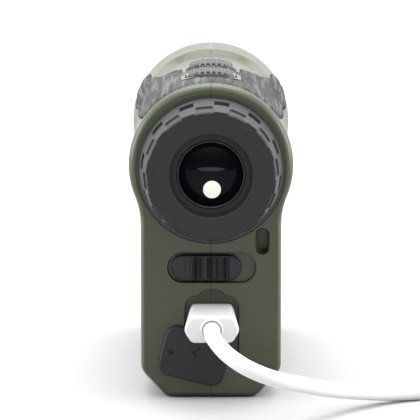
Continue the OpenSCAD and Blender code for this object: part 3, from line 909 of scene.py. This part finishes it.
# ------------------------------------------------------------------ eyepiece
def eyecup():
    """Rubber sleeve with twelve grip ribs: between the ribs a closed slot at the root and a scalloped front edge."""
    n = 720
    th = np.arange(n) * 2 * math.pi / n
    cone = lambda y: 18.2 - 0.1387 * max(0.0, -46.3 - y)
    prof = [(15.9, -45.55), (17.85, -45.5), (18.1, -45.6), (18.2, -45.85)]
    prof += [(cone(y), y) for y in np.arange(-46.0, -59.65, -0.13)]
    for i in range(1, 7):
        t = math.pi / 2 * i / 6
        prof.append((16.0 + 0.34 * math.cos(t), -59.7 - 0.45 * math.sin(t)))
    prof += [(r, -60.15) for r in np.arange(15.84, 11.0, -0.16)]
    for i in range(1, 8):
        t = math.pi / 2 * i / 7
        prof.append((10.9 - 0.6 * math.sin(t), -60.15 + 0.6 * (1 - math.cos(t))))
    prof += [(10.3, -59.0), (10.3, -57.9), (11.2, -58.2), (14.6, -58.4), (15.2, -57.0), (15.3, -46.0), (15.6, -45.6)]
    P = np.array(prof)
    m = len(P)
    R = np.repeat(P[:, 0][:, None], n, 1)
    Y = np.repeat(P[:, 1][:, None], n, 1)
    TH = np.repeat(th[None, :], m, 0)
    outer = (P[:, 0] > 15.9)[:, None] & (P[:, 1] < -45.9)[:, None]

    def near(a0):
        a = (np.degrees(TH) - a0) % 30
        return np.minimum(a, 30 - a)

    slot = sstep(0, 0.2, (6.2 - near(81)) * 0.307) * sstep(0, 0.2, np.minimum(Y + 53.1, -49.1 - Y))
    notch = sstep(0, 0.55, (7.9 + 0.35 * np.maximum(0, -54.6 - Y) - near(96)) * 0.30) * sstep(-54.55, -54.8, Y)
    floor_r = 15.95
    R = R - np.where(outer, 1.15 * slot, 0)
    R = np.where(outer, R - 0.5 * notch * np.maximum(0, R - floor_r), R)
    Y = Y + np.where(outer & (P[:, 1] < -59.65)[:, None], 0.35 * notch, 0)
    # small pips on the upper half of the face, as generic adjustment marks
    X0, Z0 = R * np.cos(TH), R * np.sin(TH)
    flat = (P[:, 1] < -60.1)[:, None] & (P[:, 0] > 11.2)[:, None]
    for a in (150, 130, 110, 90, 70, 50, 30):
        cx, cz = 13.7 * math.cos(math.radians(a)), 13.7 * math.sin(math.radians(a))
        d = np.hypot(X0 - cx, Z0 - cz)
        Y = Y + np.where(flat, 0.10 * (1 - sstep(0.25, 0.6, d)), 0)
    verts = np.stack([R * np.cos(TH), Y, AXIS_Z + R * np.sin(TH)], -1).reshape(-1, 3)
    faces = []
    for s in range(m):
        t = (s + 1) % m
        for k in range(n):
            k2 = (k + 1) % n
            faces.append((s * n + k, s * n + k2, t * n + k2, t * n + k))
    o = make("eyecup_grip", verts, faces, M["sleeve"], smooth=False)
    fix_normals(o)
    smooth_by(o, 40)
    return own(o, "diopter", "black_rubber", "eyecup_sleeve")


eyecup()


def lens_piece(name, r, y0, y1, y2, y3, z, mat, n=96):
    """Biconvex lens: centre thickness y0 to y3, edge y1 to y2."""
    prof = [(0.001, y0)] + [(r * t, y0 + (y1 - y0) * t * t) for t in np.linspace(0.08, 0.985, 14)]
    prof += [(r, y1 + 0.1), (r, y2 - 0.1)]
    prof += [(r * t, y3 + (y2 - y3) * t * t) for t in np.linspace(0.985, 0.08, 14)] + [(0.001, y3)]
    return turned(name, prof, mat, z=z, n=n, angle=40, closed=False)


own(lens_piece("eye_lens_glass", 8.64, -56.1, -54.0, -51.6, -49.2, AXIS_Z, M["eye_glass"]), "lens_carriage",
    "coated_glass", "eye_lens")
own(lens_piece("objective_glass", 12.64, 48.6, 50.2, 53, 56.4, AXIS_Z, M["glass"]), "housing", "coated_glass",
    "objective_lens")
own(lens_piece("receiver_glass", 11.14, 53.6, 54.8, 56.2, 58.8, 15, M["glass"]), "housing", "coated_glass",
    "receiver_lens")
own(lens_piece("emitter_glass", 6.14, 53.8, 54.6, 56, 58, 35.5, M["glass"], 64), "housing", "coated_glass",
    "emitter_lens")

clear = glass_mat("field_lens_glass", (0.02, 0.02, 0.03), alpha=0.06)
put(frame["nodes"]["field_lens"], clear)

own(turned("eye_lens_ring", [(8.05, -54.6), (8.05, -56.3), (8.12, -56.52), (8.3, -56.62), (8.5, -56.6), (8.66, -56.45),
                             (8.68, -54.6)], M["black"], n=128, angle=60), "lens_carriage", "black_plastic", "eye_lens_retainer")


# The bright exit pupil as painted light: a thin glowing disc that follows the front of the eye lens stands in for the
# light that passes through the optics
def pupil():
    # painted light: a pale base colour and an emission make the disc glow in place of light seen through the eyepiece
    n = Nodes("exit_pupil_painted_glow", (0.60, 0.58, 0.52), 0.5)
    f = n.noise(300, 2)
    n.color(n.ramp(f, [(0.2, (0.56, 0.54, 0.48)), (0.8, (0.64, 0.62, 0.56))]))
    n.bsdf.inputs["Emission Color"].default_value = (1.0, 0.985, 0.90, 1)
    n.bsdf.inputs["Emission Strength"].default_value = 0.42
    return n.m


def lens_patch(name, cx, cz, rx, rz, mat, lift=0.02, power=2.0):
    """A thin oval patch at (cx, cz) lying on the curved front of the eye lens."""
    rings = []
    for back in (1, 0):
        for f in ((0.02, 0.35, 0.7, 1.0) if not back else (1.0, 0.7, 0.35, 0.02)):
            ring = []
            for k in range(64):
                t = 2 * math.pi * k / 64
                c, q = math.cos(t), math.sin(t)
                x = cx + f * rx * abs(c) ** (2 / power) * (1 if c > 0 else -1)
                z = cz + f * rz * abs(q) ** (2 / power) * (1 if q > 0 else -1)
                y = -56.1 + 2.1 * (x * x + z * z) / 8.65 ** 2 - (0.006 if back else lift)
                ring.append((x, y, AXIS_Z + z))
            rings.append(ring)
    return rings_mesh(name, rings[::-1], mat)


# painted light: the glowing disc is laid on the front of the eye lens
own(lens_patch("exit_pupil_painted_light", 0.25, -3.85, 2.22, 2.26, pupil(), 0.035), "lens_carriage", "coated_glass")


# ------------------------------------------------------------------ front plate
def front():
    rings = []
    R, zc, w = section(58)
    for y, i in ((56.8, 2.12), (58.9, 2.12), (59.15, 2.2), (59.33, 2.38), (59.4, 2.65)):
        rings.append([(p[0], y, p[1]) for p in outline(R, zc, w, i, dense=0.7)])
    o = rings_mesh("front_plate_face", rings, M["black"])

    def hole(z, r, m):
        pr = [(r + m, 62.0)]
        for i in range(7):
            t = math.pi / 2 * i / 6
            pr.append((r + m * (1 - math.sin(t)), 59.401 - m * (1 - math.cos(t))))
        pr += [(r, 55.0)]
        rings = [[(q * math.cos(2 * math.pi * k / 96), y, z + q * math.sin(2 * math.pi * k / 96)) for k in range(96)]
                 for q, y in pr]
        return rings_mesh("cut", rings)

    boolean(o, hole(AXIS_Z, 13.0, 0.9))
    boolean(o, hole(35.5, 6.4, 0.7))
    boolean(o, hole(15.0, 11.4, 0.8))
    smooth_by(o, 30)
    weighted(o)
    return own(o, "housing", "black_plastic", "front_plate")


front()


# ------------------------------------------------------------------ rubber saddle
def saddle():
    """Grained rubber over the top: a skin that follows the housing, with rolled edges and a bark-like grain."""
    low = [(-42.4, 71.2), (-20, 68.8), (0, 67.3), (20, 66.3), (40, 65.6), (48, 65.9), (54.4, 68.4)]
    top = [(-6.05, 80.3), (-5.6, 79.75), (-4, 79.45), (2, 79.15), (10, 78.6), (19, 77.1), (30, 74.9), (40, 73.4), (46, 73.9),
           (51, 73.7), (54.4, 72.0)]
    ys = np.arange(-42.35, 54.4, 0.26)
    nv = 150
    verts, idx, keep = [], {}, []
    grid = np.zeros((2, len(ys), nv, 3))
    dist = np.zeros((2, len(ys), nv))
    lowz = np.interp(ys, [p[0] for p in low], [p[1] for p in low])
    lowz = lowz + 0.28 * np.sin(ys * 1.15) + 0.20 * np.sin(ys * 2.7 + 1.3) + 0.12 * np.sin(ys * 5.3)
    topz = np.interp(ys, [p[0] for p in top], [p[1] for p in top], left=90)
    topz = topz + np.where(ys > 0, 0.14 * np.sin(ys * 1.7) + 0.08 * np.sin(ys * 4.1), 0)
    for i, y in enumerate(ys):
        R, zc, w = section(float(y), 1.0)
        po = math.acos(max(-1, min(1, (lowz[i] - zc) / R)))
        pi_ = 0.0 if topz[i] >= zc + R else math.acos((topz[i] - zc) / R)
        pi_ = min(pi_, po - 1e-4)
        ph = pi_ + (po - pi_) * np.linspace(0, 1, nv)
        arc_o = (po - ph) * R
        arc_i = (ph - pi_) * R if pi_ > 0 else np.full(nv, 9.0)
        d = np.minimum(np.minimum(arc_o, arc_i * 1.0), 54.4 - ys[i])
        for s in (0, 1):
            sg = -1 if s == 0 else 1
            grid[s, i, :, 0] = sg * ph
            grid[s, i, :, 1] = y
            grid[s, i, :, 2] = R
            dist[s, i] = d
    x = np.sin(grid[..., 0]) * grid[..., 2]
    y = grid[..., 1].copy()

    def holes(x, y):
        a = sd_rrect(x, y - MODE_Y, BTN_W + 3.0, BTN_L + 3.0, BTN_R + 1.5)
        b = sd_rrect(x, y - POWER_Y, BTN_W + 2.4, BTN_L + 2.4, BTN_R + 1.2)
        return np.minimum(a, b)

    e = 0.002
    for _ in range(3):
        s = holes(x, y)
        near = np.abs(s) < 0.2
        gx = (holes(x + e, y) - holes(x - e, y)) / (2 * e)
        gy = (holes(x, y + e) - holes(x, y - e)) / (2 * e)
        g = np.maximum(gx * gx + gy * gy, 1e-9)
        x = np.where(near, x - s * gx / g, x)
        y = np.where(near, y - s * gy / g, y)
    s = holes(x, y)
    ok = s > -0.01
    dist = np.minimum(dist, np.maximum(s, 0))
    ph = np.arcsin(np.clip(x / grid[..., 2], -1, 1))
    ph = np.where(np.abs(grid[..., 0]) > math.pi / 2, grid[..., 0], ph)
    hgt = (0.42 - roll(dist, 0.55) * 0.95) * (0.1 + 0.9 * sstep(-42.4, -39.5, y))
    shape = hgt.shape
    grain = np.zeros(shape)
    flat = np.stack([ph * 21.0, y, np.zeros(shape)], -1).reshape(-1, 3)
    out = np.empty(len(flat))
    for k, (a, b, _) in enumerate(flat):
        q = noise.noise(Vector((a * 0.5, b * 0.07, 0.0)))
        r = noise.noise(Vector((a * 1.15 + 0.8 * q, b * 0.085 + q, 4.0))) * 0.7 + noise.noise(Vector((a * 2.3 + q, b * 0.2, 9.0))) * 0.5
        out[k] = 0.24 * r
    grain = out.reshape(shape) * sstep(0.05, 0.6, dist) * sstep(-42.4, -40.5, y)
    V = np.empty(shape + (3,))
    dip = 0.1 * sstep(-42, -24, y) * (1 - sstep(22, 37, y))
    hh = hood(y, ph)
    RR, zc = HEAD_R - dip + HOOD * hh, HEAD_Z + 0.9 * hh
    rad = RR + hgt + grain
    V[..., 0] = rad * np.sin(ph)
    V[..., 1] = y
    V[..., 2] = zc + rad * np.cos(ph)
    bm = bmesh.new()
    for s_ in (0, 1):
        vid = [[bm.verts.new(V[s_, i, j]) if ok[s_, i, j] else None for j in range(nv)] for i in range(len(ys))]
        for i in range(len(ys) - 1):
            for j in range(nv - 1):
                q = (vid[i][j], vid[i + 1][j], vid[i + 1][j + 1], vid[i][j + 1])
                if all(q):
                    try:
                        bm.faces.new(q if s_ else q[::-1])
                    except ValueError:
                        pass
    bmesh.ops.remove_doubles(bm, verts=bm.verts, dist=0.004)
    loose = [v for v in bm.verts if not v.link_faces]
    bmesh.ops.delete(bm, geom=loose, context="VERTS")
    for v in bm.verts:
        v.co *= MM
    bmesh.ops.recalc_face_normals(bm, faces=bm.faces)
    up = sum(f.normal.z for f in bm.faces)
    if up < 0:
        bmesh.ops.reverse_faces(bm, faces=bm.faces)
    me = bpy.data.meshes.new("grip_saddle")
    bm.to_mesh(me)
    bm.free()
    o = bpy.data.objects.new("grip_saddle", me)
    scene.collection.objects.link(o)
    me.materials.append(M["saddle"])
    m = o.modifiers.new("thick", "SOLIDIFY")
    m.thickness = 0.7 * MM
    m.offset = -1
    apply_mods(o)
    smooth_by(o, 45)
    return own(o, "housing", "black_rubber", "rubber_grip")


saddle()


# ------------------------------------------------------------------ stage
def stage():
    n = Nodes("studio_floor", (0.36, 0.36, 0.36), 0.8)
    f = n.noise(3, 2)
    n.color(n.ramp(f, [(0.3, (0.358, 0.355, 0.362)), (0.7, (0.366, 0.363, 0.370))]))
    me = bpy.data.meshes.new("floor")
    bm = bmesh.new()
    bmesh.ops.create_circle(bm, cap_ends=True, radius=6, segments=64)
    bm.to_mesh(me)
    bm.free()
    o = bpy.data.objects.new("floor", me)
    scene.collection.objects.link(o)
    me.materials.append(n.m)

    # a studio tent: brighter overhead and behind the object, dimmer on the side of the eyepiece
    w = bpy.data.worlds.new("studio")
    scene.world = w
    w.use_nodes = True
    nt = w.node_tree
    bg = nt.nodes["Background"]
    bg.inputs["Color"].default_value = (1, 1, 1, 1)
    co = nt.nodes.new("ShaderNodeTexCoord")
    sep = nt.nodes.new("ShaderNodeSeparateXYZ")
    nt.links.new(co.outputs["Generated"], sep.inputs["Vector"])

    def ramp(sock, lo, hi, a, b):
        r = nt.nodes.new("ShaderNodeMapRange")
        r.interpolation_type = "SMOOTHSTEP"
        nt.links.new(sock, r.inputs["Value"])
        for k, v in (("From Min", lo), ("From Max", hi), ("To Min", a), ("To Max", b)):
            r.inputs[k].default_value = v
        return r.outputs["Result"]

    def add(p, q):
        m = nt.nodes.new("ShaderNodeMath")
        m.operation = "ADD"
        nt.links.new(p, m.inputs[0])
        nt.links.new(q, m.inputs[1])
        return m.outputs[0]

    side = nt.nodes.new("ShaderNodeMath")
    side.operation = "ABSOLUTE"
    nt.links.new(sep.outputs["X"], side.inputs[0])
    sky = add(ramp(sep.outputs["Z"], 0.2, 0.95, 0.16, 3.0), ramp(sep.outputs["Y"], 0.0, 0.9, 0.0, 1.6))
    sky = add(sky, ramp(side.outputs[0], 0.55, 1.0, 0.0, 2.2))
    nt.links.new(sky, bg.inputs["Strength"])

    def area(name, loc, aim, size, power, size_y=None, color=(1, 1, 1)):
        li = bpy.data.lights.new(name, "AREA")
        li.shape = "RECTANGLE"
        li.size = size
        li.size_y = size_y or size
        li.energy = power
        li.color = color
        ob = bpy.data.objects.new(name, li)
        scene.collection.objects.link(ob)
        ob.location = loc
        d = Vector(aim) - Vector(loc)
        ob.rotation_mode = "QUATERNION"
        ob.rotation_quaternion = d.to_track_quat("-Z", "Y")
        return ob

    area("key_overhead", (0.0, 0.12, 0.85), (0, -0.01, 0.05), 0.7, 6.0, 0.5)
    for sx in (-1, 1):
        area("side_%s" % ("left" if sx < 0 else "right"), (sx * 1.2, 0.05, 0.22), (0, -0.02, 0.05), 0.6, 13.0, 1.0)
    strip = area("strip_behind_camera", (0.0, -1.6, 0.100), (0, 0, 0.06), 1.25, 3.4, 0.17)
    strip.data.shape = "ELLIPSE"
    strip.visible_diffuse = False


stage()
